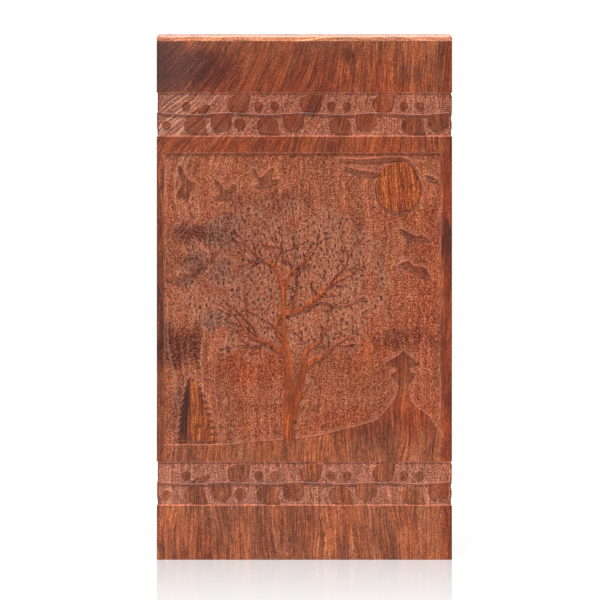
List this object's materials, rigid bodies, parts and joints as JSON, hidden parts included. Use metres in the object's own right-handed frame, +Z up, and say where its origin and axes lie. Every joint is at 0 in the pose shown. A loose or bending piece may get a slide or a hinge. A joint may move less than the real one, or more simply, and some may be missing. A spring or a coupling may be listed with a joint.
{
  "type": "cremation urn box",
  "caption": "Upright hollow hardwood box for cremated remains, with a sunk relief of a tree on its front and carved bands of leafy vine round it; it loads from below.",
  "frame": {"origin": "middle of the underside, on the surface that the box stands on", "axes": "+Z up; the carved front faces -Y; +X to the right as one looks at the front"},
  "size_m": [0.163, 0.13, 0.29],
  "materials": {
    "rosewood": "polished raised wood over a matt carved ground",
    "rosewood_top": "polished, paler board",
    "base_wood": "sanded and thinly oiled",
    "screw_metal": "dull brassed wood screws"
  },
  "bodies": {
    "root": {"front_board": "rosewood", "back_board": "rosewood", "left_board": "rosewood", "right_board": "rosewood", "top_board": "rosewood_top", "base_panel": "base_wood", "base_screw_1": "screw_metal", "base_screw_2": "screw_metal", "base_screw_3": "screw_metal", "base_screw_4": "screw_metal"}
  },
  "joints": []
}
